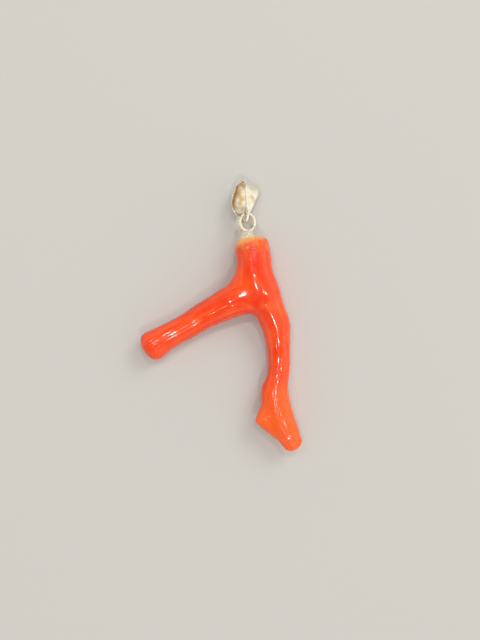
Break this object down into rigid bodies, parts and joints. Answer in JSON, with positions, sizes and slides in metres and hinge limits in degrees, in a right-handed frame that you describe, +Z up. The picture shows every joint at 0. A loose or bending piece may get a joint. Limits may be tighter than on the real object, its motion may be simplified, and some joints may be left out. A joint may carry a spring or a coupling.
{
  "type": "coral branch pendant",
  "caption": "Polished red coral branch that forks into a short arm and a longer foot-shaped arm, capped in silver with a ring and a folded bail to hang it from a chain.",
  "frame": {"origin": "on the table under the middle of the part's bounding box, as it lies", "axes": "+X across the fork towards the longer branch, +Y from the branch tips towards the bail, +Z up from the table"},
  "size_m": [0.0364, 0.0608, 0.0083],
  "materials": {
    "coral": "polished",
    "glue": "gloss",
    "silver_cast": "satin",
    "silver_polished": "polished"
  },
  "bodies": {
    "pendant": {"coral_stem": "coral", "coral_left_branch": "coral", "coral_right_branch": "coral", "glue_bead": "glue", "cap": "silver_cast", "ring": "silver_polished"},
    "bail": {"bail": "silver_polished"}
  },
  "joints": [
    {"name": "bail_swing", "type": "hinge", "parent": "pendant", "child": "bail", "pos_m": [0.00527, 0.02283, 0.00438], "axis": [0.8004, -0.0096, -0.5994], "range_deg": [-55, 125]}
  ]
}
